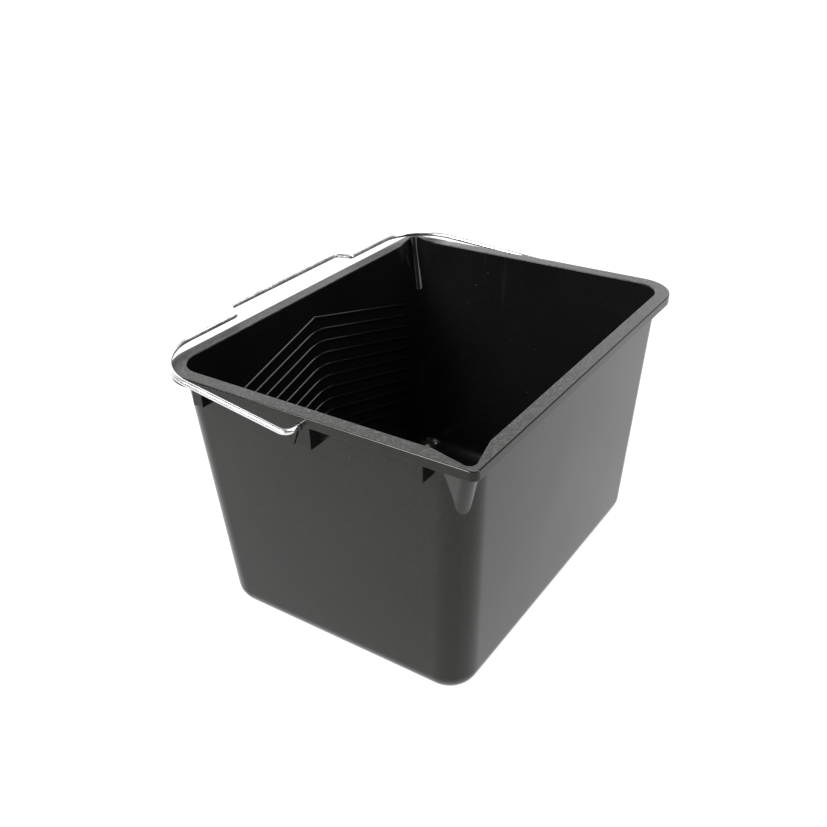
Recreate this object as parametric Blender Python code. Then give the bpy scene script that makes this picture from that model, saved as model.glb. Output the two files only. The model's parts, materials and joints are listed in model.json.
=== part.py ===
"""Roller bucket: a rectangular moulded tub with wiping ribs, and the wire bail that it is carried by.

Frame: origin at the middle of the tub's underside, +Z up, the ribbed wall on the -X side, and the
bail's pivots on the two walls at -Y and +Y. Metres.
"""

import math

import bmesh
import bpy
from mathutils import Matrix, Vector

# ---- driving dimensions -------------------------------------------------------------------------
RIM_WIDTH = 0.280  # outside of the rim along X
RIM_LENGTH = 0.350  # outside of the rim along Y
HEIGHT = 0.225
WALL = 0.002  # moulded wall thickness
FLANGE_WIDTH = 0.012  # flat top of the rim
FLANGE_THICKNESS = 0.0022
SKIRT_HEIGHT = 0.0075  # the rim's turned-down edge, from the top of the rim
SKIRT_THICKNESS = 0.002
EDGE_ROUND = 0.0008  # rounding of the rim's edges

BASE_INSET_X = 0.025  # how far the wall's foot stands in from the rim, on the sides facing +X and -X
BASE_INSET_Y = 0.022
RIM_CORNER = 0.033
WALL_CORNER = 0.024  # outside radius of the wall's upright corners
FOOT_ROUND = 0.018  # outside radius between the walls and the floor

SPOUT_DEPTH = 0.049  # how far down the corner the pouring spout starts
SPOUT_REACH = 0.0165  # how far it stands out past the corner's round at the rim, along the diagonal
SPOUT_ROUND = 0.007  # outside radius of its nose, the same from top to bottom
SPOUT_TURN = math.radians(58.5)  # from the diagonal to the flank's outward direction, on either side
SPOUT_MOUTH = 0.007  # how far past the corner's round the outline is still divided finely
SPOUT_RIM_ROUND = 0.006  # the rim's own corner is tight where it carries a spout

RIB_COUNT = 12
RIB_PITCH = 0.0115
RIB_TOP = 0.202  # height of the highest rib's peak
RIB_SLOPE = math.radians(15.0)
RIB_RADIUS = 0.0013
RIB_SINK = 0.0003  # how far the rib's axis is sunk in the wall
RIB_PEAK_ROUND = 0.050

LUG_CENTRE = 0.0958  # stacking lugs, left and right of each pivot
LUG_SHIFT = 0.001
LUG_WIDTH = 0.0092
LUG_BOTTOM = 0.2048
LUG_WALL = 0.0018

BOSS_WIDTH = 0.021
BOSS_BOTTOM = 0.2005
SLOT_WIDTH = 0.0024
SLOT_LEAN = math.radians(19.5)

WIRE = 0.0045  # diameter of the bail's wire
PIVOT_X = 0.002
PIVOT_HEIGHT = 0.2171
PIVOT_BORE = 0.0053
PIVOT_Y = 0.1878  # the wire's middle where an arm meets its leg, from the middle of the tub
ARM_Y = 0.1788  # and where the arms, which lean in a little, meet the bail's corners
ARM_LENGTH = 0.1455  # from the pivot to the straight wire across the top
ARM_TILT = math.radians(5.3)  # how far the bail stands above level when it lies on the rim
BAIL_CORNER = 0.050
GRIP_HALF_OUTER = 0.0785  # where the wire starts to step out to the grip
GRIP_HALF_INNER = 0.0712
GRIP_STEP = 0.0132
GRIP_BEND = 0.004
LEG_BEND = 0.0068
LEG_END_Y = 0.1668

# ---- derived dimensions -------------------------------------------------------------------------
HALF_X = RIM_WIDTH / 2
HALF_Y = RIM_LENGTH / 2
OVERHANG = FLANGE_WIDTH - WALL  # from the rim's edge to the outside of the wall's top
SPOUT_BOTTOM = HEIGHT - SPOUT_DEPTH
FLANGE_UNDERSIDE = HEIGHT - FLANGE_THICKNESS
SKIRT_BOTTOM = HEIGHT - SKIRT_HEIGHT

# ---- how finely the round shapes are cut, and small allowances ----------------------------------
CORNER_STEPS = 8
SPOUT_SIDE_STEPS = 8  # from the spout's nose to where its flank meets the wall
NOSE_SHARE = 0.5  # at least this share of them is on the round nose
SPOUT_SEED = 0.001  # below the spout, those steps cover only this much of the corner's outline
MOUTH_STEPS = 5
RIB_STEPS = 4
FOOT_STEPS = 5
SPOUT_STEPS = 9
BEND_STEPS = 5
BORE_SIDES = 20
RIB_ROUNDNESS = 1  # a curve's bevel resolution
WIRE_ROUNDNESS = 3
TUB_SHARP = math.radians(30.0)  # edges that turn more than this are shaded sharp
WIRE_SHARP = math.radians(50.0)
WELD = 0.00001  # points closer than this are one
EMBED = 0.0008  # how far a piece that is joined to the tub reaches into it
FACE_STEP = 0.00005  # a boss's front stands this far behind the skirt's, so that no two faces coincide
HOLLOW_GAP = 0.0002  # a boss's hollow stops this far short of the top of the wall


# ---- helpers ------------------------------------------------------------------------------------
def new_collection(name):
    collection = bpy.data.collections.new(name)
    bpy.context.scene.collection.children.link(collection)
    return collection


def new_object(name, mesh, collection):
    obj = bpy.data.objects.new(name, mesh)
    collection.objects.link(obj)
    return obj


def plain_material(name, color, roughness, metallic):
    material = bpy.data.materials.new(name)
    material.use_nodes = True
    shader = material.node_tree.nodes["Principled BSDF"]
    shader.inputs["Base Color"].default_value = (*color, 1.0)
    shader.inputs["Roughness"].default_value = roughness
    shader.inputs["Metallic"].default_value = metallic
    return material


def mix(a, b, share):
    return a + (b - a) * share


def arc(centre, radius, start, end, steps):
    """Points on an arc, both ends included; angles in radians, counter-clockwise from +X."""
    return [
        (
            centre[0] + radius * math.cos(mix(start, end, k / steps)),
            centre[1] + radius * math.sin(mix(start, end, k / steps)),
        )
        for k in range(steps + 1)
    ]


def add_boolean(target, cutter, operation):
    modifier = target.modifiers.new(f"{operation.title()} {cutter.name}", "BOOLEAN")
    modifier.operation = operation
    modifier.object = cutter
    modifier.solver = "EXACT"
    cutter.hide_render = True
    cutter.display_type = "WIRE"


def box_object(name, low, high, collection):
    """A box between two opposite corners."""
    bm = bmesh.new()
    bmesh.ops.create_cube(bm, size=1.0)
    middle = (Vector(low) + Vector(high)) / 2
    size = Vector(high) - Vector(low)
    place = Matrix.Translation(middle) @ Matrix.Diagonal((*size, 1.0))
    bmesh.ops.transform(bm, matrix=place, verts=bm.verts)
    mesh = bpy.data.meshes.new(name)
    bm.to_mesh(mesh)
    bm.free()
    return new_object(name, mesh, collection)


def wire_mesh(name, points, diameter, collection, resolution):
    """A round wire along points, as a closed mesh."""
    curve = bpy.data.curves.new(name, "CURVE")
    curve.dimensions = "3D"
    curve.bevel_depth = diameter / 2
    curve.bevel_resolution = resolution
    curve.use_fill_caps = True
    spline = curve.splines.new("POLY")
    spline.points.add(len(points) - 1)
    for point, place in zip(spline.points, points):
        point.co = (*place, 1.0)
    curve_object = new_object(name + "_curve", curve, collection)
    bpy.context.view_layer.update()
    evaluated = curve_object.evaluated_get(bpy.context.evaluated_depsgraph_get())
    mesh = bpy.data.meshes.new_from_object(evaluated)
    mesh.name = name
    bm = bmesh.new()
    bm.from_mesh(mesh)
    bmesh.ops.remove_doubles(bm, verts=bm.verts, dist=WELD)
    bm.to_mesh(mesh)
    bm.free()
    matrix = curve_object.matrix_world.copy()
    bpy.data.objects.remove(curve_object)
    obj = new_object(name, mesh, collection)
    obj.matrix_world = matrix
    return obj


# ---- the tub's rings ----------------------------------------------------------------------------
def corner_point(radius, along):
    """A point of a rounded corner, about its centre: a length along the outline from the diagonal."""
    quarter = radius * math.pi / 4
    on_arc = min(along, quarter)
    angle = math.pi / 4 + on_arc / radius
    return (radius * math.cos(angle) - (along - on_arc), radius * math.sin(angle))


def spread(first, total, steps):
    """Lengths from 0 to total, with at least NOSE_SHARE of the steps inside the first length."""
    fine = steps * max(NOSE_SHARE, first / total)
    lengths = [first * k / fine for k in range(steps + 1) if k <= fine]
    rest = steps - fine
    lengths += [first + (total - first) * (k - fine) / rest for k in range(steps + 1) if k > fine]
    return lengths


def flank_length(nose_end, direction, radius):
    """How far a spout's flank runs, from the end of its nose to the corner's round or the wall."""
    to_wall = (radius - nose_end.y) / direction.y
    if (nose_end + direction * to_wall).x <= 0.0:
        return to_wall
    middle = nose_end.dot(direction)
    return -middle - math.sqrt(max(0.0, middle**2 - nose_end.length_squared + radius**2))


def spout_side(radius, nose_round, reach):
    """One side of a spout's outline, about the corner's centre, and how far along the corner it ends."""
    if reach <= 0.0:
        lengths = [SPOUT_SEED * k / SPOUT_SIDE_STEPS for k in range(SPOUT_SIDE_STEPS + 1)]
        return [corner_point(radius, length) for length in lengths], SPOUT_SEED
    distance = radius + reach - nose_round
    meeting = (radius**2 - distance**2 - nose_round**2) / (2 * distance * nose_round)
    has_flank = meeting < math.cos(SPOUT_TURN)
    turn = SPOUT_TURN if has_flank else math.acos(meeting)
    angle = math.pi / 4 + turn
    centre = Vector((distance, distance)) * math.sqrt(0.5)
    nose_end = centre + nose_round * Vector((math.cos(angle), math.sin(angle)))
    direction = Vector((-math.sin(angle), math.cos(angle)))
    nose = nose_round * turn
    flank = flank_length(nose_end, direction, radius) if has_flank else 0.0
    points = []
    for length in spread(nose, nose + flank, SPOUT_SIDE_STEPS):
        part = math.pi / 4 + min(length, nose) / nose_round
        on_nose = centre + nose_round * Vector((math.cos(part), math.sin(part)))
        points.append(tuple(on_nose + direction * max(0.0, length - nose)))
    x, y = points[-1]
    end = radius * math.pi / 4 - x if x < 0.0 else radius * (math.atan2(y, x) - math.pi / 4)
    return points, end


def corner_outline(side, half_x, half_y, radius):
    """A corner at +X +Y from its +Y side, which is mirrored in the diagonal."""
    outline = [(y, x) for x, y in reversed(side)] + side[1:]
    return [(half_x - radius + x, half_y - radius + y) for x, y in outline]


def ring(half_x, half_y, radius, z, spout):
    """One closed outline of the tub at height z; the corners at +X -Y and -X +Y carry the spouts."""
    plain = arc((half_x - radius, half_y - radius), radius, 0.0, math.pi / 2, CORNER_STEPS)
    outline = list(plain)
    outline += [(-x, y) for x, y in reversed(spout)]
    outline += [(-x, -y) for x, y in plain]
    outline += [(x, -y) for x, y in reversed(spout)]
    return [(x, y, z) for x, y in outline]


def wall_half_sizes(z):
    """Half sizes of the outside of the wall at height z."""
    share = z / HEIGHT
    return (
        mix(HALF_X - BASE_INSET_X, HALF_X - OVERHANG, share),
        mix(HALF_Y - BASE_INSET_Y, HALF_Y - OVERHANG, share),
    )


def wall_ring(z, inset):
    """The wall's outline at height z, inset from its outside; the spouts open towards the top."""
    half_x, half_y = (half - inset for half in wall_half_sizes(z))
    radius = WALL_CORNER - inset
    reach = SPOUT_REACH * (z - SPOUT_BOTTOM) / SPOUT_DEPTH
    side, start = spout_side(radius, SPOUT_ROUND - inset, reach)
    end = radius * math.pi / 4 + SPOUT_MOUTH
    stops = [mix(start, end, k / MOUTH_STEPS) for k in range(1, MOUTH_STEPS + 1)]
    side += [corner_point(radius, stop) for stop in stops]
    return ring(half_x, half_y, radius, z, corner_outline(side, half_x, half_y, radius))


def foot_ring(angle, radius, floor_z, wall_inset):
    """The wall's outline where it turns into the floor; angle 0 is on the floor."""
    return wall_ring(floor_z + radius * (1 - math.cos(angle)), wall_inset + radius * (1 - math.sin(angle)))


def rim_ring(inset, z):
    """The rim's outline at height z, inset from its edge."""
    half_x, half_y = HALF_X - inset, HALF_Y - inset
    tight = SPOUT_RIM_ROUND - inset
    stops = spread(tight * math.pi / 4, RIM_CORNER, SPOUT_SIDE_STEPS + MOUTH_STEPS)
    side = [corner_point(tight, stop) for stop in stops]
    return ring(half_x, half_y, RIM_CORNER - inset, z, corner_outline(side, half_x, half_y, tight))


def tub_rings():
    """All outlines, from the middle of the underside, up the outside, over the rim and down inside."""
    foot_angles = [k / FOOT_STEPS * math.pi / 2 for k in range(FOOT_STEPS + 1)]
    spout_heights = [SPOUT_BOTTOM + (k / SPOUT_STEPS) ** 2 * SPOUT_DEPTH for k in range(SPOUT_STEPS)]
    rings = [foot_ring(angle, FOOT_ROUND, 0.0, 0.0) for angle in foot_angles]
    rings += [wall_ring(z, 0.0) for z in spout_heights]
    rings.append(wall_ring(FLANGE_UNDERSIDE, 0.0))
    rings.append(rim_ring(SKIRT_THICKNESS, FLANGE_UNDERSIDE))
    rings.append(rim_ring(SKIRT_THICKNESS, SKIRT_BOTTOM))
    rings.append(rim_ring(0.0, SKIRT_BOTTOM))
    rings.append(rim_ring(0.0, HEIGHT - EDGE_ROUND))
    rings.append(rim_ring(EDGE_ROUND, HEIGHT))
    rings.append(wall_ring(HEIGHT, WALL - EDGE_ROUND))
    rings.append(wall_ring(HEIGHT - EDGE_ROUND, WALL))
    rings += [wall_ring(z, WALL) for z in reversed(spout_heights)]
    rings += [foot_ring(angle, FOOT_ROUND - WALL, WALL, WALL) for angle in reversed(foot_angles)]
    return rings


def loft(name, rings, collection):
    """A closed body through rings of equal length, with a flat face over the first and the last."""
    bm = bmesh.new()
    layers = [[bm.verts.new(point) for point in points] for points in rings]
    for lower, upper in zip(layers, layers[1:]):
        count = len(lower)
        for k in range(count):
            after = (k + 1) % count
            bm.faces.new((lower[k], lower[after], upper[after], upper[k]))
    bm.faces.new(list(reversed(layers[0])))
    bm.faces.new(layers[-1])
    bmesh.ops.recalc_face_normals(bm, faces=bm.faces)
    mesh = bpy.data.meshes.new(name)
    bm.to_mesh(mesh)
    bm.free()
    return new_object(name, mesh, collection)


# ---- what is moulded onto the tub ---------------------------------------------------------------
def rib_point(y, z, sink):
    """A point of the ribbed wall's inside, sunk into the wall."""
    half_x, _ = wall_half_sizes(z)
    return (-(half_x - WALL) - sink, y, z)


def rib_path(peak, peak_round):
    """One wiping rib: up to a peak in the middle of the wall and down again."""
    _, half_y = wall_half_sizes(peak - math.tan(RIB_SLOPE) * HALF_Y)
    end_y = half_y - WALL_CORNER
    end_z = peak - math.tan(RIB_SLOPE) * end_y
    centre_z = peak - peak_round / math.cos(RIB_SLOPE)
    top = [(0.0, peak)]
    if peak_round:
        top = arc((0.0, centre_z), peak_round, math.pi / 2 - RIB_SLOPE, math.pi / 2 + RIB_SLOPE, RIB_STEPS)
    return [rib_point(y, z, RIB_SINK) for y, z in [(end_y, end_z), *top, (-end_y, end_z)]]


def add_ribs(tub, collection):
    for number in range(RIB_COUNT):
        path = rib_path(RIB_TOP - number * RIB_PITCH, RIB_PEAK_ROUND if number else 0.0)
        rib = wire_mesh(f"wiping_rib_{number + 1}", path, 2 * RIB_RADIUS, collection, RIB_ROUNDNESS)
        add_boolean(tub, rib, "UNION")


def add_box_boss(tub, name, side, centre_x, width, bottom, collection):
    """A hollow box under the rim, flush with the skirt and open below."""
    _, wall_y = wall_half_sizes(bottom)
    front = side * (HALF_Y - FACE_STEP)
    back = side * (wall_y - EMBED)
    low_y, high_y = sorted((front, back))
    body = box_object(
        name,
        (centre_x - width / 2, low_y, bottom),
        (centre_x + width / 2, high_y, FLANGE_UNDERSIDE + EMBED),
        collection,
    )
    add_boolean(tub, body, "UNION")
    _, top_wall_y = wall_half_sizes(FLANGE_UNDERSIDE)
    low_y, high_y = sorted((side * (HALF_Y - SKIRT_THICKNESS), side * (top_wall_y + HOLLOW_GAP)))
    hollow = box_object(
        name + "_hollow",
        (centre_x - width / 2 + LUG_WALL, low_y, bottom - EMBED),
        (centre_x + width / 2 - LUG_WALL, high_y, FLANGE_UNDERSIDE),
        collection,
    )
    add_boolean(tub, hollow, "DIFFERENCE")


def add_pivot_hole(tub, name, side, collection):
    """The bore for the bail's leg, and the narrow leaning slot that the leg snaps in through."""
    bm = bmesh.new()
    bmesh.ops.create_cone(
        bm,
        cap_ends=True,
        segments=BORE_SIDES,
        radius1=PIVOT_BORE / 2,
        radius2=PIVOT_BORE / 2,
        depth=4 * SKIRT_THICKNESS,
    )
    bmesh.ops.rotate(bm, matrix=Matrix.Rotation(math.pi / 2, 3, "X"), verts=bm.verts)
    mesh = bpy.data.meshes.new(name)
    bm.to_mesh(mesh)
    bm.free()
    bore = new_object(name, mesh, collection)
    bore.location = (PIVOT_X, side * (HALF_Y - SKIRT_THICKNESS / 2), PIVOT_HEIGHT)
    add_boolean(tub, bore, "DIFFERENCE")
    length = PIVOT_HEIGHT - BOSS_BOTTOM + PIVOT_BORE
    slot = box_object(
        name + "_slot",
        (-SLOT_WIDTH / 2, -2 * SKIRT_THICKNESS, -length),
        (SLOT_WIDTH / 2, 2 * SKIRT_THICKNESS, 0.0),
        collection,
    )
    slot.location = bore.location
    slot.rotation_euler = (0.0, SLOT_LEAN, 0.0)
    add_boolean(tub, slot, "DIFFERENCE")


def make_tub(parts, cutters):
    tub = loft("tub", tub_rings(), parts)
    add_ribs(tub, cutters)
    for side, place in ((-1, "front"), (1, "back")):
        for lug_side in (-1, 1):
            name = f"stacking_lug_{place}_{'left' if lug_side < 0 else 'right'}"
            add_box_boss(tub, name, side, lug_side * LUG_CENTRE + LUG_SHIFT, LUG_WIDTH, LUG_BOTTOM, cutters)
        add_box_boss(tub, f"pivot_boss_{place}", side, 0.0, BOSS_WIDTH, BOSS_BOTTOM, cutters)
        add_pivot_hole(tub, f"pivot_bore_{place}", side, cutters)
    tub.data.shade_smooth()
    tub.data.set_sharp_from_angle(angle=TUB_SHARP)
    tub.data.materials.append(plain_material("black_plastic", (0.012, 0.012, 0.012), 0.42, 0.0))
    return tub


# ---- the bail -----------------------------------------------------------------------------------
def rounded_path(corners, radii, steps):
    """A polyline through flat corners, each rounded by an arc of its own radius."""
    path = [corners[0]]
    for before, here, after, radius in zip(corners, corners[1:], corners[2:], radii):
        towards = (Vector(before) - Vector(here)).normalized()
        away = (Vector(after) - Vector(here)).normalized()
        half_angle = towards.angle(away) / 2
        cut = radius / math.tan(half_angle)
        start = Vector(here) + towards * cut
        centre = Vector(here) + (towards + away).normalized() * radius / math.sin(half_angle)
        spoke = start - centre
        turn = math.pi - 2 * half_angle
        sense = 1 if towards.cross(away) < 0 else -1
        for k in range(steps + 1):
            path.append(tuple(centre + Matrix.Rotation(sense * turn * k / steps, 2) @ spoke))
    path.append(corners[-1])
    return path


def bail_path():
    """The wire's middle line in the bail's own plane: x away from the pivots, y along their axis."""
    half = [
        ((0.0, -LEG_END_Y), None),
        ((0.0, -PIVOT_Y), LEG_BEND),
        ((ARM_LENGTH, -ARM_Y), BAIL_CORNER),
        ((ARM_LENGTH, -GRIP_HALF_OUTER), GRIP_BEND),
        ((ARM_LENGTH + GRIP_STEP, -GRIP_HALF_INNER), GRIP_BEND),
    ]
    corners = [place for place, _ in half] + [(x, -y) for (x, y), _ in reversed(half)]
    radii = [radius for _, radius in half[1:]]
    return rounded_path(corners, radii + radii[::-1], BEND_STEPS)


def make_bail(parts):
    path = [(-along, y, 0.0) for along, y in bail_path()]
    bail = wire_mesh("bail_handle", path, WIRE, parts, WIRE_ROUNDNESS)
    bail.matrix_world = Matrix.Translation((PIVOT_X, 0.0, PIVOT_HEIGHT)) @ Matrix.Rotation(ARM_TILT, 4, "Y")
    bail.data.shade_smooth()
    bail.data.set_sharp_from_angle(angle=WIRE_SHARP)
    bail.data.materials.append(plain_material("zinc_wire", (0.62, 0.63, 0.63), 0.28, 1.0))
    return bail


def main():
    for obj in list(bpy.data.objects):
        bpy.data.objects.remove(obj)
    parts = new_collection("roller_bucket")
    cutters = new_collection("cutters")
    make_tub(parts, cutters)
    make_bail(parts)


main()
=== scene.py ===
"""Looks of a roller bucket: a black moulded tub with wiping ribs, and its zinc-plated wire bail.

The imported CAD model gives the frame, its sizes and its pivot. The tub and the bail are built again
here with finer rounding, and each replaces its CAD node. Metres, +Z up, origin under the tub.
"""

import json
import math

import bmesh
import bpy
from mathutils import Matrix, Vector


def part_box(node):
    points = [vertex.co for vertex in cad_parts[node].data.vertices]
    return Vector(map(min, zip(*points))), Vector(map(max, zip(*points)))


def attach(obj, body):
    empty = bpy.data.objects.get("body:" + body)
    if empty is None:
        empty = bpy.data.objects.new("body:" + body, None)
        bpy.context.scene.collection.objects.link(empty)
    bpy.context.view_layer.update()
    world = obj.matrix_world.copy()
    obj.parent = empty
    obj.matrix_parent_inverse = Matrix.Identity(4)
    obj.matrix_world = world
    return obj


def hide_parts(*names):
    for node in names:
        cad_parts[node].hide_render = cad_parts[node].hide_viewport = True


# ---- shape of the tub, beside the sizes that come from the frame --------------------------------
WALL = 0.002
FLANGE_WIDTH = 0.012
FLANGE_THICKNESS = 0.0022
SKIRT_HEIGHT = 0.0075
SKIRT_THICKNESS = 0.002
EDGE_ROUND = 0.0009  # the rim's outer edge
MOUTH_ROUND = 0.0007  # the rim's inner edge
SKIRT_ROUND = 0.0005  # the skirt's lower edges
SOFT = 0.0003  # a support line this far from a rounding keeps the flat beside it flat

BASE_INSET_X = 0.025
BASE_INSET_Y = 0.022
RIM_CORNER = 0.033
WALL_CORNER = 0.024
FOOT_ROUND = 0.018

SPOUT_DEPTH = 0.049
SPOUT_REACH = 0.0165
SPOUT_ROUND = 0.007
SPOUT_TURN = math.radians(58.5)
SPOUT_MOUTH = 0.007
SPOUT_RIM_ROUND = 0.006

RIB_COUNT = 12
RIB_PITCH = 0.0115
RIB_TOP = 0.202
RIB_SLOPE = math.radians(15.0)
RIB_RADIUS = 0.0013
RIB_SINK = 0.0003
RIB_PEAK_ROUND = 0.050
RIB_NUB = 0.0018  # a small dome where the two halves of the top rib meet

LUG_CENTRE = 0.0958
LUG_SHIFT = 0.001
LUG_WIDTH = 0.0092
LUG_BOTTOM = 0.2048
LUG_WALL = 0.0018
BOSS_WIDTH = 0.021
BOSS_BOTTOM = 0.2005
BOSS_ROUND = 0.0004
SLOT_WIDTH = 0.0016
SLOT_ROUND = 0.0002
SLOT_LEAN = math.radians(19.5)
PIVOT_BORE = 0.0053
CUT_DEPTH = 0.008  # the bores and slots are cut through this much of the boss

# ---- shape of the bail --------------------------------------------------------------------------
WIRE = 0.00438  # a hair under the CAD wire, whose facets this stays inside
PIVOT_Y = 0.1878
ARM_Y = 0.1788
ARM_LENGTH = 0.1455
ARM_TILT = math.radians(5.3)
BAIL_CORNER = 0.050
GRIP_HALF_OUTER = 0.0785
GRIP_HALF_INNER = 0.0712
GRIP_STEP = 0.0132
GRIP_BEND = 0.004
LEG_BEND = 0.0068
LEG_END_Y = 0.1668

# ---- how finely the round shapes are cut --------------------------------------------------------
CORNER_STEPS = 24
SPOUT_SIDE_STEPS = 24
NOSE_SHARE = 0.5  # at least this share of a spout side's steps is spent on its nose
SPOUT_SEED = 0.0007  # below the spout, those steps cover only this much of the corner's outline
MOUTH_STEPS = 10
SPOUT_STEPS = 30
FOOT_STEPS = 14
EDGE_STEPS = 7
WALL_STEPS = 10
RIB_STEPS = 16
RIB_SIDES = 24
BORE_SIDES = 40
BEND_STEPS = 20
WIRE_SIDES = 32
STRAIGHT_PIECE = 0.006  # longest stretch of wire between two rings
EMBED = 0.0008  # how far pieces that are joined or cut reach past each other's faces
FACE_STEP = 0.00004  # a boss's face lies this far behind the rim's edge, so that the two don't coincide
HOLLOW_GAP = 0.0002  # from the wall to a boss's hollow, at the rim
SHARP = math.radians(16.0)  # an edge that turns more than this is shaded as a crease

# ---- camera -------------------------------------------------------------------------------------
CAMERA_PLACE = (0.3848, -0.5964, 0.5411)
CAMERA_AZIMUTH = math.radians(34.43)
CAMERA_ELEVATION = math.radians(29.32)
CAMERA_ROLL = math.radians(-1.73)
CAMERA_LENS = 41.86
CAMERA_SENSOR = 36.0
CAMERA_REACH = 200.0

# ---- studio -------------------------------------------------------------------------------------
ROOM_LIGHT = 0.22
PAPER_LIGHT = 2.0
PAPER_WAY = (-0.7, 0.7, 0.0)  # the white paper hangs this way
PAPER_SIDE = (0.2, 0.75)  # it starts and is full where a direction leans this far towards it
PAPER_TOP = (-0.8, -0.5)  # and where a direction leans this far downwards
FLOOR_HALF_SIZE = 40.0
FLOOR_GLOW = 0.95
FLOOR_PAINT = (0.15, 0.15, 0.15)
LIGHTS_AIM = (0.0, 0.0, 0.15)
SOFTBOXES = (  # name, place, width, height, power in watts
    ("front", (-0.25, -1.45, 1.05), 1.1, 1.2, 14.0),
    ("left", (-0.75, -1.1, 1.6), 0.8, 1.1, 65.0),
    ("right", (1.6, 0.45, 0.7), 0.6, 1.0, 9.0),
    ("low", (0.2, -1.7, 0.55), 0.5, 0.4, 8.0),
    ("top", (0.3, 0.45, 1.5), 0.8, 0.8, 15.0),
)

# ---- black plastic ------------------------------------------------------------------------------
PLASTIC_IOR = 1.46
PLASTIC_SHINE = 0.33
PLASTIC_TINT = (1.0, 0.99, 0.94, 1.0)
BLACK = (0.0026, 0.0026, 0.0026)
BLACK_PALE = (0.0042, 0.0042, 0.0040)
SCUFF_COLOR = (0.008, 0.008, 0.008)
DUST_COLOR = (0.10, 0.10, 0.095)
CLOUD_SCALE = 14.0
CLOUD_GLOSS = (-0.03, 0.04)  # added to the roughness in the glossiest and the dullest clouds
GRAIN_PEAKS = (0.48, 0.72)  # grain this high turns from black to the finish's speckle
GRAIN_GLOSS = 0.02
SCUFF_SCALE = 90.0
SCUFF_STRETCH = (1.0, 1.0, 0.06)
SCUFF_STARTS = (0.66, 0.74)
SCUFF_SHARE = 0.5
SCUFF_GLOSS = 0.02
DUST_SCALE = 70.0
DUST_SIZE = 0.028
DUST_SHIFT = 3.7
WAVE_SCALE = 9.0
WAVE_DEPTH = 0.0006
FINISHES = (  # name, roughness, grain scale, grain depth, speckle
    ("outside_plastic", 0.17, 650.0, 0.000025, 0.010),
    ("rim_plastic", 0.33, 700.0, 0.00016, 0.055),
    ("edge_plastic", 0.12, 1100.0, 0.000004, 0.010),
    ("inside_plastic", 0.17, 900.0, 0.000006, 0.006),
)

# ---- zinc-plated wire ---------------------------------------------------------------------------
ZINC_DULL = (0.60, 0.61, 0.62)
ZINC_BRIGHT = (0.74, 0.75, 0.75)
ZINC_RUB = (0.46, 0.46, 0.45)
ZINC_GLOSS = (0.16, 0.28)
ZINC_FINE_GLOSS = (-0.03, 0.05)
ZINC_PATCH_SCALE = 60.0
ZINC_FINE_SCALE = 900.0
ZINC_FINE_DEPTH = 0.00002
RUB_SCALE = 35.0
RUB_STARTS = (0.6, 0.72)

SPOT_CORE = 0.6  # the share of a dust spot's radius that is fully covered
CLOUD_SPAN = (0.3, 0.7)  # the part of a noise's range that is stretched over the whole effect
FINE_SPAN = (0.2, 0.8)

# ---- the tub's four finishes, as material slots of one mesh -------------------------------------
OUTSIDE, RIM, EDGE, INSIDE = range(4)

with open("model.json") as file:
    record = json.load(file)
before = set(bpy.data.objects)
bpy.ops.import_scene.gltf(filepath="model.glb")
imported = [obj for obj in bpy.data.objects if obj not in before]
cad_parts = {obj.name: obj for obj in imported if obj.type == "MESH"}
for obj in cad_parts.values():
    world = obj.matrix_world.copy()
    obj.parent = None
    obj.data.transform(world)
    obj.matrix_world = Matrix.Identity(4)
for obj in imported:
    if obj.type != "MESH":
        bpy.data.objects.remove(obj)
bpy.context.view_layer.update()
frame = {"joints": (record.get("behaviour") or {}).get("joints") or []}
HALF_X, HALF_Y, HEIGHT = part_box("tub")[1]
PIVOT_X, _, PIVOT_HEIGHT = frame["joints"][0]["pos_m"]
OVERHANG = FLANGE_WIDTH - WALL
SPOUT_BOTTOM = HEIGHT - SPOUT_DEPTH
FLANGE_UNDERSIDE = HEIGHT - FLANGE_THICKNESS
SKIRT_BOTTOM = HEIGHT - SKIRT_HEIGHT


# ---- helpers ------------------------------------------------------------------------------------
def mix(a, b, share):
    return a + (b - a) * share


def new_object(name, mesh):
    obj = bpy.data.objects.new(name, mesh)
    bpy.context.scene.collection.objects.link(obj)
    return obj


def mesh_object(name, bm):
    """An object from a bmesh, which is used up."""
    bmesh.ops.recalc_face_normals(bm, faces=bm.faces)
    mesh = bpy.data.meshes.new(name)
    bm.to_mesh(mesh)
    bm.free()
    mesh.shade_smooth()
    return new_object(name, mesh)


def apply_modifiers(obj):
    bpy.context.view_layer.update()
    depsgraph = bpy.context.evaluated_depsgraph_get()
    evaluated = obj.evaluated_get(depsgraph)
    mesh = bpy.data.meshes.new_from_object(evaluated, preserve_all_data_layers=True, depsgraph=depsgraph)
    obj.modifiers.clear()
    obj.data = mesh


def boolean(target, other, operation):
    """Joins the other piece to the target or cuts it out, and throws the other away."""
    modifier = target.modifiers.new(other.name, "BOOLEAN")
    modifier.operation = operation
    modifier.object = other
    modifier.solver = "EXACT"
    apply_modifiers(target)
    bpy.data.objects.remove(other)


def tidy_normals(obj):
    """Large flat faces keep their own normals, and the small roundings beside them carry the turn."""
    obj.data.set_sharp_from_angle(angle=SHARP)
    modifier = obj.modifiers.new("normals", "WEIGHTED_NORMAL")
    modifier.keep_sharp = True
    apply_modifiers(obj)


def arc(centre, radius, start, end, steps):
    """Points on an arc, both ends included; angles in radians, counter-clockwise from +X."""
    angles = [mix(start, end, k / steps) for k in range(steps + 1)]
    return [(centre[0] + radius * math.cos(a), centre[1] + radius * math.sin(a)) for a in angles]


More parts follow.
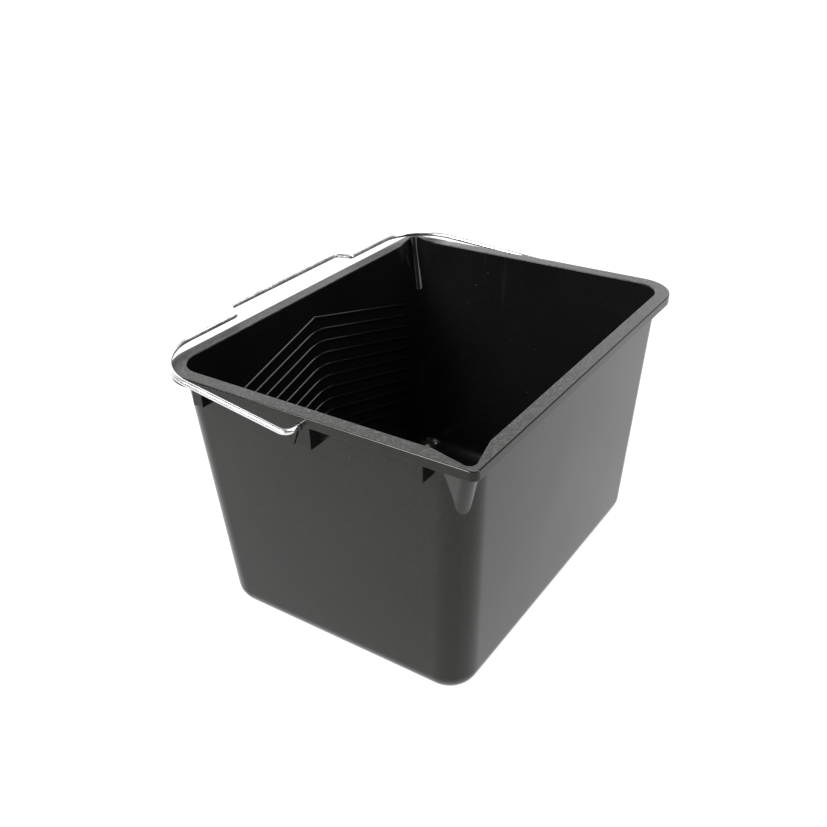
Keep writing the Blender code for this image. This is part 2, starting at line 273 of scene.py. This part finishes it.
# ---- the tub's outlines -------------------------------------------------------------------------
def corner_point(radius, along):
    """A point of a rounded corner, about its centre: a length along the outline from the diagonal."""
    quarter = radius * math.pi / 4
    on_arc = min(along, quarter)
    angle = math.pi / 4 + on_arc / radius
    return (radius * math.cos(angle) - (along - on_arc), radius * math.sin(angle))


def spread(first, total, steps):
    """Lengths from 0 to total, with at least NOSE_SHARE of the steps inside the first length."""
    fine = steps * max(NOSE_SHARE, first / total)
    lengths = [first * k / fine for k in range(steps + 1) if k <= fine]
    rest = steps - fine
    lengths += [first + (total - first) * (k - fine) / rest for k in range(steps + 1) if k > fine]
    return lengths


def flank_length(nose_end, direction, radius):
    """How far a spout's flank runs, from the end of its nose to the corner's round or the wall."""
    to_wall = (radius - nose_end.y) / direction.y
    if (nose_end + direction * to_wall).x <= 0.0:
        return to_wall
    middle = nose_end.dot(direction)
    return -middle - math.sqrt(max(0.0, middle**2 - nose_end.length_squared + radius**2))


def spout_side(radius, nose_round, reach):
    """One side of a spout's outline, about the corner's centre, and how far along the corner it ends."""
    if reach <= 0.0:
        lengths = [SPOUT_SEED * k / SPOUT_SIDE_STEPS for k in range(SPOUT_SIDE_STEPS + 1)]
        return [corner_point(radius, length) for length in lengths], SPOUT_SEED
    distance = radius + reach - nose_round
    meeting = (radius**2 - distance**2 - nose_round**2) / (2 * distance * nose_round)
    has_flank = meeting < math.cos(SPOUT_TURN)
    turn = SPOUT_TURN if has_flank else math.acos(meeting)
    angle = math.pi / 4 + turn
    centre = Vector((distance, distance)) * math.sqrt(0.5)
    nose_end = centre + nose_round * Vector((math.cos(angle), math.sin(angle)))
    direction = Vector((-math.sin(angle), math.cos(angle)))
    nose = nose_round * turn
    flank = flank_length(nose_end, direction, radius) if has_flank else 0.0
    points = []
    for length in spread(nose, nose + flank, SPOUT_SIDE_STEPS):
        part = math.pi / 4 + min(length, nose) / nose_round
        on_nose = centre + nose_round * Vector((math.cos(part), math.sin(part)))
        points.append(tuple(on_nose + direction * max(0.0, length - nose)))
    x, y = points[-1]
    end = radius * math.pi / 4 - x if x < 0.0 else radius * (math.atan2(y, x) - math.pi / 4)
    return points, end


def corner_outline(side, half_x, half_y, radius):
    """A corner at +X +Y from its +Y side, which is mirrored in the diagonal."""
    outline = [(y, x) for x, y in reversed(side)] + side[1:]
    return [(half_x - radius + x, half_y - radius + y) for x, y in outline]


def ring(half_x, half_y, radius, z, spout):
    """One closed outline of the tub at height z; the corners at +X -Y and -X +Y carry the spouts."""
    plain = arc((half_x - radius, half_y - radius), radius, 0.0, math.pi / 2, CORNER_STEPS)
    outline = list(plain)
    outline += [(-x, y) for x, y in reversed(spout)]
    outline += [(-x, -y) for x, y in plain]
    outline += [(x, -y) for x, y in reversed(spout)]
    return [(x, y, z) for x, y in outline]


def wall_half_sizes(z):
    """Half sizes of the outside of the wall at height z."""
    share = z / HEIGHT
    return (
        mix(HALF_X - BASE_INSET_X, HALF_X - OVERHANG, share),
        mix(HALF_Y - BASE_INSET_Y, HALF_Y - OVERHANG, share),
    )


def wall_ring(inset, z):
    """The wall's outline at height z, inset from its outside; the spouts open towards the top."""
    half_x, half_y = (half - inset for half in wall_half_sizes(z))
    radius = WALL_CORNER - inset
    reach = SPOUT_REACH * (z - SPOUT_BOTTOM) / SPOUT_DEPTH
    side, start = spout_side(radius, SPOUT_ROUND - inset, reach)
    end = radius * math.pi / 4 + SPOUT_MOUTH
    stops = [mix(start, end, k / MOUTH_STEPS) for k in range(1, MOUTH_STEPS + 1)]
    side += [corner_point(radius, stop) for stop in stops]
    return ring(half_x, half_y, radius, z, corner_outline(side, half_x, half_y, radius))


def rim_ring(inset, z):
    """The rim's outline at height z, inset from its edge."""
    half_x, half_y = HALF_X - inset, HALF_Y - inset
    tight = SPOUT_RIM_ROUND - inset
    stops = spread(tight * math.pi / 4, RIM_CORNER, SPOUT_SIDE_STEPS + MOUTH_STEPS)
    side = [corner_point(tight, stop) for stop in stops]
    return ring(half_x, half_y, RIM_CORNER - inset, z, corner_outline(side, half_x, half_y, tight))


def foot_ring(angle, radius, floor_z, wall_inset):
    """The wall's outline where it turns into the floor; angle 0 is on the floor."""
    return wall_ring(wall_inset + radius * (1 - math.sin(angle)), floor_z + radius * (1 - math.cos(angle)))


def round_edge(ring_at, inset, z, radius, start):
    """Outlines over a rounded edge of the rim or the wall; start is the side of the round it begins on."""
    angles = [start + k / EDGE_STEPS * math.pi / 2 for k in range(EDGE_STEPS + 1)]
    return [ring_at(inset - radius * math.cos(a), z + radius * math.sin(a)) for a in angles]


def wall_heights():
    """Where the wall has its outlines: wide apart below the spouts, and closer up to the rim."""
    plain = [mix(FOOT_ROUND, SPOUT_BOTTOM, k / WALL_STEPS) for k in range(1, WALL_STEPS)]
    spouted = [SPOUT_BOTTOM + (k / SPOUT_STEPS) ** 2 * SPOUT_DEPTH for k in range(SPOUT_STEPS)]
    return plain + [z for z in spouted if z < FLANGE_UNDERSIDE - SOFT]


def tub_bands():
    """The tub's outlines with the finish of the band above each, from the underside to the floor inside."""
    foot_angles = [k / FOOT_STEPS * math.pi / 2 for k in range(FOOT_STEPS + 1)]
    outside = [foot_ring(angle, FOOT_ROUND, 0.0, 0.0) for angle in foot_angles]
    outside += [wall_ring(0.0, z) for z in wall_heights()]
    outside += [wall_ring(0.0, FLANGE_UNDERSIDE - SOFT), wall_ring(0.0, FLANGE_UNDERSIDE)]
    outside.append(rim_ring(SKIRT_THICKNESS, FLANGE_UNDERSIDE))

    low = SKIRT_BOTTOM + SKIRT_ROUND
    high = HEIGHT - EDGE_ROUND
    skirt = [rim_ring(SKIRT_THICKNESS, low + SOFT)]
    skirt += round_edge(rim_ring, SKIRT_THICKNESS - SKIRT_ROUND, low, SKIRT_ROUND, math.pi)
    skirt += round_edge(rim_ring, SKIRT_ROUND, low, SKIRT_ROUND, -math.pi / 2)
    skirt += [rim_ring(0.0, low + SOFT), rim_ring(0.0, high - SOFT)]
    edge = round_edge(rim_ring, EDGE_ROUND, high, EDGE_ROUND, 0.0)

    turn = HEIGHT - MOUTH_ROUND
    top = [rim_ring(EDGE_ROUND + SOFT, HEIGHT), wall_ring(WALL - MOUTH_ROUND - SOFT, HEIGHT)]
    top += round_edge(wall_ring, WALL - MOUTH_ROUND, turn, MOUTH_ROUND, math.pi / 2)
    inside = [wall_ring(WALL, turn - SOFT)]
    inside += [wall_ring(WALL, z) for z in reversed(wall_heights())]
    inside += [foot_ring(angle, FOOT_ROUND - WALL, WALL, WALL) for angle in reversed(foot_angles)]
    finished = ((outside, OUTSIDE), (skirt, OUTSIDE), (edge, EDGE), (top, RIM), (inside, INSIDE))
    return [(points, finish) for rings, finish in finished for points in rings]


def loft(name, bands):
    """A closed body through outlines of equal length, with a flat face over the first and the last."""
    bm = bmesh.new()
    layers = [[bm.verts.new(point) for point in points] for points, _ in bands]
    for (lower, upper), (_, finish) in zip(zip(layers, layers[1:]), bands):
        count = len(lower)
        for k in range(count):
            after = (k + 1) % count
            face = bm.faces.new((lower[k], lower[after], upper[after], upper[k]))
            face.material_index = finish
    bm.faces.new(list(reversed(layers[0]))).material_index = OUTSIDE
    bm.faces.new(layers[-1]).material_index = INSIDE
    return mesh_object(name, bm)


# ---- round bars: the ribs and the bail ----------------------------------------------------------
def add_bar(bm, path, radius, sides, finish):
    """A round bar along a path, closed by a flat face at each end."""
    places = [Vector(place) for place in path]
    tangents = [(places[1] - places[0]).normalized()]
    for before, here, after in zip(places, places[1:], places[2:]):
        tangents.append(((here - before).normalized() + (after - here).normalized()).normalized())
    tangents.append((places[-1] - places[-2]).normalized())
    normal = tangents[0].orthogonal().normalized()
    layers = []
    for place, tangent in zip(places, tangents):
        normal = (normal - tangent * normal.dot(tangent)).normalized()
        side = tangent.cross(normal)
        angles = [2 * math.pi * k / sides for k in range(sides)]
        spokes = [normal * math.cos(a) + side * math.sin(a) for a in angles]
        layers.append([bm.verts.new(place + radius * spoke) for spoke in spokes])
    for lower, upper in zip(layers, layers[1:]):
        for k in range(sides):
            after = (k + 1) % sides
            bm.faces.new((lower[k], lower[after], upper[after], upper[k])).material_index = finish
    bm.faces.new(list(reversed(layers[0]))).material_index = finish
    bm.faces.new(layers[-1]).material_index = finish


def wall_inside_point(y, z, sink):
    """A point of the ribbed wall's inside, sunk into the wall."""
    half_x, _ = wall_half_sizes(z)
    return (-(half_x - WALL) - sink, y, z)


def rib_path(peak, peak_round):
    """One wiping rib: up to a peak in the middle of the wall and down again."""
    _, half_y = wall_half_sizes(peak - math.tan(RIB_SLOPE) * HALF_Y)
    end_y = half_y - WALL_CORNER
    end_z = peak - math.tan(RIB_SLOPE) * end_y
    centre_z = peak - peak_round / math.cos(RIB_SLOPE)
    top = [(0.0, peak)]
    if peak_round:
        top = arc((0.0, centre_z), peak_round, math.pi / 2 - RIB_SLOPE, math.pi / 2 + RIB_SLOPE, RIB_STEPS)
    return [wall_inside_point(y, z, RIB_SINK) for y, z in [(end_y, end_z), *top, (-end_y, end_z)]]


def make_ribs():
    bm = bmesh.new()
    for number in range(RIB_COUNT):
        path = rib_path(RIB_TOP - number * RIB_PITCH, RIB_PEAK_ROUND if number else 0.0)
        add_bar(bm, path, RIB_RADIUS, RIB_SIDES, INSIDE)
    return mesh_object("ribs", bm)


def make_nub():
    """The little dome where the two halves of the top rib meet."""
    bm = bmesh.new()
    place = Matrix.Translation(wall_inside_point(0.0, RIB_TOP, RIB_SINK))
    bmesh.ops.create_uvsphere(bm, u_segments=RIB_SIDES, v_segments=RIB_STEPS, radius=RIB_NUB, matrix=place)
    for face in bm.faces:
        face.material_index = INSIDE
    return mesh_object("nub", bm)


# ---- bosses and lugs ----------------------------------------------------------------------------
def add_box(bm, low, high, rounding, finish):
    """A box between two opposite corners, its edges rounded."""
    middle = (Vector(low) + Vector(high)) / 2
    size = Vector(high) - Vector(low)
    place = Matrix.Translation(middle) @ Matrix.Diagonal((*size, 1.0))
    made = bmesh.ops.create_cube(bm, size=1.0, matrix=place)
    edges = dict.fromkeys(edge for vert in made["verts"] for edge in vert.link_edges)
    for face in dict.fromkeys(face for vert in made["verts"] for face in vert.link_faces):
        face.material_index = finish
    bmesh.ops.bevel(
        bm,
        geom=list(edges),
        offset=rounding,
        offset_type="OFFSET",
        segments=EDGE_STEPS,
        profile=0.5,
        affect="EDGES",
        material=finish,
    )


def boss_places():
    """Side, middle, width and lower end of each boss and lug."""
    for side in (-1, 1):
        yield side, 0.0, BOSS_WIDTH, BOSS_BOTTOM
        for lug_side in (-1, 1):
            yield side, lug_side * LUG_CENTRE + LUG_SHIFT, LUG_WIDTH, LUG_BOTTOM


def make_boss_bodies():
    bm = bmesh.new()
    for side, middle, width, bottom in boss_places():
        _, wall_y = wall_half_sizes(bottom)
        low_y, high_y = sorted((side * (HALF_Y - FACE_STEP), side * (wall_y - EMBED)))
        low = (middle - width / 2, low_y, bottom)
        add_box(bm, low, (middle + width / 2, high_y, FLANGE_UNDERSIDE + EMBED), BOSS_ROUND, OUTSIDE)
    return mesh_object("boss_bodies", bm)


def make_boss_hollows():
    bm = bmesh.new()
    _, top_wall_y = wall_half_sizes(FLANGE_UNDERSIDE)
    for side, middle, width, bottom in boss_places():
        low_y, high_y = sorted((side * (HALF_Y - SKIRT_THICKNESS), side * (top_wall_y + HOLLOW_GAP)))
        half = width / 2 - LUG_WALL
        low = (middle - half, low_y, bottom - EMBED)
        add_box(bm, low, (middle + half, high_y, FLANGE_UNDERSIDE), BOSS_ROUND, OUTSIDE)
    return mesh_object("boss_hollows", bm)


def make_bores():
    bm = bmesh.new()
    for side in (-1, 1):
        place = Matrix.Translation((PIVOT_X, side * (HALF_Y - SKIRT_THICKNESS / 2), PIVOT_HEIGHT))
        bmesh.ops.create_cone(
            bm,
            cap_ends=True,
            segments=BORE_SIDES,
            radius1=PIVOT_BORE / 2,
            radius2=PIVOT_BORE / 2,
            depth=CUT_DEPTH,
            matrix=place @ Matrix.Rotation(math.pi / 2, 4, "X"),
        )
    return mesh_object("bores", bm)


def make_slots():
    bm = bmesh.new()
    length = PIVOT_HEIGHT - BOSS_BOTTOM + PIVOT_BORE
    for side in (-1, 1):
        made = bmesh.new()
        low = (-SLOT_WIDTH / 2, -CUT_DEPTH / 2, -length)
        add_box(made, low, (SLOT_WIDTH / 2, CUT_DEPTH / 2, 0.0), SLOT_ROUND, OUTSIDE)
        place = Matrix.Translation((PIVOT_X, side * (HALF_Y - SKIRT_THICKNESS / 2), PIVOT_HEIGHT))
        made.transform(place @ Matrix.Rotation(SLOT_LEAN, 4, "Y"))
        mesh = bpy.data.meshes.new("slot")
        made.to_mesh(mesh)
        made.free()
        bm.from_mesh(mesh)
        bpy.data.meshes.remove(mesh)
    return mesh_object("slots", bm)


def make_tub(materials):
    tub = loft("roller_tub", tub_bands())
    additions = [
        (make_ribs(), "UNION"),
        (make_nub(), "UNION"),
        (make_boss_bodies(), "UNION"),
    ]
    cuts = [
        (make_boss_hollows(), "DIFFERENCE"),
        (make_bores(), "DIFFERENCE"),
        (make_slots(), "DIFFERENCE"),
    ]
    for piece in [tub, *(other for other, _ in additions + cuts)]:
        for material in materials:
            piece.data.materials.append(material)
    for other, operation in additions + cuts:
        boolean(tub, other, operation)
    tidy_normals(tub)
    return tub


# ---- the bail -----------------------------------------------------------------------------------
def rounded_path(corners, radii):
    """A polyline through flat corners, each rounded by an arc of its own radius."""
    path = [Vector(corners[0])]
    for before, here, after, radius in zip(corners, corners[1:], corners[2:], radii):
        towards = (Vector(before) - Vector(here)).normalized()
        away = (Vector(after) - Vector(here)).normalized()
        half_angle = towards.angle(away) / 2
        start = Vector(here) + towards * radius / math.tan(half_angle)
        centre = Vector(here) + (towards + away).normalized() * radius / math.sin(half_angle)
        spoke = start - centre
        turn = math.pi - 2 * half_angle
        sense = 1 if towards.cross(away) < 0 else -1
        for k in range(BEND_STEPS + 1):
            path.append(centre + Matrix.Rotation(sense * turn * k / BEND_STEPS, 2) @ spoke)
    path.append(Vector(corners[-1]))
    return path


def subdivided(path):
    """The path with its long straights cut into shorter pieces."""
    fine = [path[0]]
    for here, after in zip(path, path[1:]):
        pieces = max(1, math.ceil((after - here).length / STRAIGHT_PIECE))
        fine += [here.lerp(after, k / pieces) for k in range(1, pieces + 1)]
    return fine


def make_bail(material):
    """The wire from leg to leg, made level and then tilted up to where it lies on the rim."""
    half = [
        ((0.0, -LEG_END_Y), None),
        ((0.0, -PIVOT_Y), LEG_BEND),
        ((ARM_LENGTH, -ARM_Y), BAIL_CORNER),
        ((ARM_LENGTH, -GRIP_HALF_OUTER), GRIP_BEND),
        ((ARM_LENGTH + GRIP_STEP, -GRIP_HALF_INNER), GRIP_BEND),
    ]
    corners = [place for place, _ in half] + [(x, -y) for (x, y), _ in reversed(half)]
    radii = [radius for _, radius in half[1:]]
    path = [(-along, y, 0.0) for along, y in subdivided(rounded_path(corners, radii + radii[::-1]))]
    bm = bmesh.new()
    add_bar(bm, path, WIRE / 2, WIRE_SIDES, 0)
    bm.transform(Matrix.Translation((PIVOT_X, 0.0, PIVOT_HEIGHT)) @ Matrix.Rotation(ARM_TILT, 4, "Y"))
    bail = mesh_object("bail_wire", bm)
    bail.data.materials.append(material)
    tidy_normals(bail)
    return bail


# ---- materials ----------------------------------------------------------------------------------
class Nodes:
    """Short names for building a material's node tree."""

    def __init__(self, name):
        self.material = bpy.data.materials.new(name)
        self.material.use_nodes = True
        self.tree = self.material.node_tree
        self.shader = self.tree.nodes["Principled BSDF"]
        self.place = self.tree.nodes.new("ShaderNodeTexCoord").outputs["Object"]

    def link(self, source, target):
        self.tree.links.new(source, target)

    def stretched(self, scale):
        node = self.tree.nodes.new("ShaderNodeMapping")
        node.inputs["Scale"].default_value = scale
        self.link(self.place, node.inputs["Vector"])
        return node.outputs["Vector"]

    def noise(self, scale, detail=2.0, rough=0.5, vector=None):
        node = self.tree.nodes.new("ShaderNodeTexNoise")
        node.inputs["Scale"].default_value = scale
        node.inputs["Detail"].default_value = detail
        node.inputs["Roughness"].default_value = rough
        self.link(vector or self.place, node.inputs["Vector"])
        return node.outputs["Fac"]

    def spots(self, scale, size, seed_shift):
        """Small round spots scattered over the surface: 1 in a spot and 0 around it."""
        shifted = self.tree.nodes.new("ShaderNodeMapping")
        shifted.inputs["Location"].default_value = (seed_shift, seed_shift, seed_shift)
        self.link(self.place, shifted.inputs["Vector"])
        node = self.tree.nodes.new("ShaderNodeTexVoronoi")
        node.inputs["Scale"].default_value = scale
        self.link(shifted.outputs["Vector"], node.inputs["Vector"])
        return self.ramp(node.outputs["Distance"], size, SPOT_CORE * size, 0.0, 1.0)

    def ramp(self, value, low, high, at_low, at_high):
        """A straight slope between two input values, clamped outside them."""
        node = self.tree.nodes.new("ShaderNodeMapRange")
        limits = {"From Min": low, "From Max": high, "To Min": at_low, "To Max": at_high}
        for socket, number in limits.items():
            node.inputs[socket].default_value = number
        self.link(value, node.inputs["Value"])
        return node.outputs["Result"]

    def math(self, operation, a, b):
        node = self.tree.nodes.new("ShaderNodeMath")
        node.operation = operation
        for socket, value in zip(node.inputs, (a, b)):
            if isinstance(value, float):
                socket.default_value = value
            else:
                self.link(value, socket)
        return node.outputs["Value"]

    def colors(self, share, first, second):
        node = self.tree.nodes.new("ShaderNodeMix")
        node.data_type = "RGBA"
        sockets = [socket for socket in node.inputs if socket.type == "RGBA"]
        for socket, color in zip(sockets, (first, second)):
            if isinstance(color, tuple):
                socket.default_value = (*color, 1.0)
            else:
                self.link(color, socket)
        self.link(share, node.inputs["Factor"])
        return next(socket for socket in node.outputs if socket.type == "RGBA")

    def bumps(self, layers):
        """Bump from several heights, each (value, depth in metres); the first one is the finest."""
        normal = None
        for value, depth in layers:
            node = self.tree.nodes.new("ShaderNodeBump")
            node.inputs["Strength"].default_value = 1.0
            node.inputs["Distance"].default_value = depth
            self.link(value, node.inputs["Height"])
            if normal is not None:
                self.link(normal, node.inputs["Normal"])
            normal = node.outputs["Normal"]
        self.link(normal, self.shader.inputs["Normal"])


def plastic(name, roughness, grain_scale, grain_depth, speckle):
    """Black polypropylene as moulded: fine grain, cloudy gloss, hairline scuffs and a little dust."""
    nodes = Nodes(name)
    cloud = nodes.noise(CLOUD_SCALE, detail=4.0, rough=0.6)
    fine = nodes.noise(grain_scale, rough=0.6)
    scuffs = nodes.noise(SCUFF_SCALE, detail=3.0, rough=0.7, vector=nodes.stretched(SCUFF_STRETCH))
    scuff_mask = nodes.ramp(scuffs, *SCUFF_STARTS, 0.0, SCUFF_SHARE)
    dust = nodes.spots(DUST_SCALE, DUST_SIZE, DUST_SHIFT)
    base = nodes.colors(nodes.ramp(cloud, *CLOUD_SPAN, 0.0, 1.0), BLACK, BLACK_PALE)
    grained = nodes.colors(nodes.ramp(fine, *GRAIN_PEAKS, 0.0, 1.0), base, (speckle, speckle, speckle))
    scuffed = nodes.colors(scuff_mask, grained, SCUFF_COLOR)
    nodes.link(nodes.colors(dust, scuffed, DUST_COLOR), nodes.shader.inputs["Base Color"])
    gloss = nodes.ramp(cloud, *CLOUD_SPAN, *(roughness + change for change in CLOUD_GLOSS))
    gloss = nodes.math("ADD", gloss, nodes.ramp(scuffs, *SCUFF_STARTS, 0.0, SCUFF_GLOSS))
    gloss = nodes.math("ADD", gloss, nodes.ramp(fine, *FINE_SPAN, -GRAIN_GLOSS, GRAIN_GLOSS))
    nodes.link(gloss, nodes.shader.inputs["Roughness"])
    nodes.bumps([(fine, grain_depth), (nodes.noise(WAVE_SCALE, detail=1.0), WAVE_DEPTH)])
    nodes.shader.inputs["IOR"].default_value = PLASTIC_IOR
    nodes.shader.inputs["Specular IOR Level"].default_value = PLASTIC_SHINE
    nodes.shader.inputs["Specular Tint"].default_value = PLASTIC_TINT
    return nodes.material


def zinc_wire():
    """Drawn steel wire with a bright zinc coat: dull patches, fine grain and a few darker rubs."""
    nodes = Nodes("zinc_wire")
    patches = nodes.noise(ZINC_PATCH_SCALE, detail=3.0, rough=0.6)
    fine = nodes.noise(ZINC_FINE_SCALE)
    rubs = nodes.ramp(nodes.noise(RUB_SCALE, detail=3.0, rough=0.65), *RUB_STARTS, 0.0, 1.0)
    base = nodes.colors(nodes.ramp(patches, *CLOUD_SPAN, 0.0, 1.0), ZINC_DULL, ZINC_BRIGHT)
    nodes.link(nodes.colors(rubs, base, ZINC_RUB), nodes.shader.inputs["Base Color"])
    gloss = nodes.ramp(patches, *CLOUD_SPAN, *ZINC_GLOSS)
    fine_gloss = nodes.ramp(fine, *FINE_SPAN, *ZINC_FINE_GLOSS)
    nodes.link(nodes.math("ADD", gloss, fine_gloss), nodes.shader.inputs["Roughness"])
    nodes.bumps([(fine, ZINC_FINE_DEPTH)])
    nodes.shader.inputs["Metallic"].default_value = 1.0
    return nodes.material


# ---- studio -------------------------------------------------------------------------------------
def make_floor():
    bm = bmesh.new()
    bmesh.ops.create_grid(bm, x_segments=1, y_segments=1, size=FLOOR_HALF_SIZE)
    floor = mesh_object("floor", bm)
    material = bpy.data.materials.new("white_floor")
    material.use_nodes = True
    shader = material.node_tree.nodes["Principled BSDF"]
    shader.inputs["Base Color"].default_value = (*FLOOR_PAINT, 1.0)
    shader.inputs["Roughness"].default_value = 1.0
    shader.inputs["Specular IOR Level"].default_value = 0.0
    shader.inputs["Emission Color"].default_value = (1.0, 1.0, 1.0, 1.0)
    shader.inputs["Emission Strength"].default_value = FLOOR_GLOW
    floor.data.materials.append(material)


def add_softbox(name, place, width, height, power):
    """A rectangular area light, turned towards the tub."""
    light = bpy.data.lights.new(name, "AREA")
    light.shape = "RECTANGLE"
    light.size = width
    light.size_y = height
    light.energy = power
    obj = new_object(name, light)
    direction = Vector(LIGHTS_AIM) - Vector(place)
    obj.matrix_world = Matrix.Translation(place) @ direction.to_track_quat("-Z", "Y").to_matrix().to_4x4()


def make_world():
    """The studio: bright white paper to the left and behind, and dimmer walls and ceiling elsewhere.

    The camera itself sees plain white all round.
    """
    world = bpy.data.worlds.new("studio")
    world.use_nodes = True
    tree = world.node_tree
    tree.nodes["Background"].inputs["Color"].default_value = (1.0, 1.0, 1.0, 1.0)
    direction = tree.nodes.new("ShaderNodeTexCoord").outputs["Generated"]

    def towards(axis, low, high):
        """0 at low and 1 at high, by how far a direction points along an axis."""
        dot = tree.nodes.new("ShaderNodeVectorMath")
        dot.operation = "DOT_PRODUCT"
        dot.inputs[1].default_value = axis
        tree.links.new(direction, dot.inputs[0])
        slope = tree.nodes.new("ShaderNodeMapRange")
        slope.interpolation_type = "SMOOTHSTEP"
        slope.inputs["From Min"].default_value = low
        slope.inputs["From Max"].default_value = high
        tree.links.new(dot.outputs["Value"], slope.inputs["Value"])
        return slope.outputs["Result"]

    paper = tree.nodes.new("ShaderNodeMath")
    paper.operation = "MULTIPLY"
    tree.links.new(towards(PAPER_WAY, *PAPER_SIDE), paper.inputs[0])
    tree.links.new(towards((0.0, 0.0, -1.0), *PAPER_TOP), paper.inputs[1])
    level = tree.nodes.new("ShaderNodeMapRange")
    level.inputs["To Min"].default_value = ROOM_LIGHT
    level.inputs["To Max"].default_value = PAPER_LIGHT
    tree.links.new(paper.outputs["Value"], level.inputs["Value"])
    seen = tree.nodes.new("ShaderNodeMix")
    tree.links.new(tree.nodes.new("ShaderNodeLightPath").outputs["Is Camera Ray"], seen.inputs["Factor"])
    tree.links.new(level.outputs["Result"], seen.inputs["A"])
    seen.inputs["B"].default_value = 1.0
    tree.links.new(seen.outputs["Result"], tree.nodes["Background"].inputs["Strength"])
    bpy.context.scene.world = world


def make_studio():
    make_floor()
    make_world()
    for name, place, width, height, power in SOFTBOXES:
        add_softbox(name, place, width, height, power)


def make_camera():
    """The camera at its place, turned by its angles about the tub and by its roll."""
    flat = math.cos(CAMERA_ELEVATION)
    side = math.sin(CAMERA_AZIMUTH)
    ahead = math.cos(CAMERA_AZIMUTH)
    back = Vector((side * flat, -ahead * flat, math.sin(CAMERA_ELEVATION)))
    level = Vector((ahead, side, 0.0))
    upright = back.cross(level)
    right = level * math.cos(CAMERA_ROLL) + upright * math.sin(CAMERA_ROLL)
    up = upright * math.cos(CAMERA_ROLL) - level * math.sin(CAMERA_ROLL)
    data = bpy.data.cameras.new("camera")
    data.lens = CAMERA_LENS
    data.sensor_width = CAMERA_SENSOR
    data.clip_end = CAMERA_REACH
    camera = new_object("camera", data)
    turn = Matrix((right, up, back)).transposed().to_4x4()
    camera.matrix_world = Matrix.Translation(CAMERA_PLACE) @ turn
    bpy.context.scene.camera = camera


def main():
    bpy.context.scene.view_settings.view_transform = "Standard"
    make_camera()
    make_studio()

    tub = make_tub([plastic(*finish) for finish in FINISHES])
    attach(tub, "tub")
    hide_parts("tub")

    bail = make_bail(zinc_wire())
    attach(bail, "bail")
    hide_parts("bail_handle")


main()
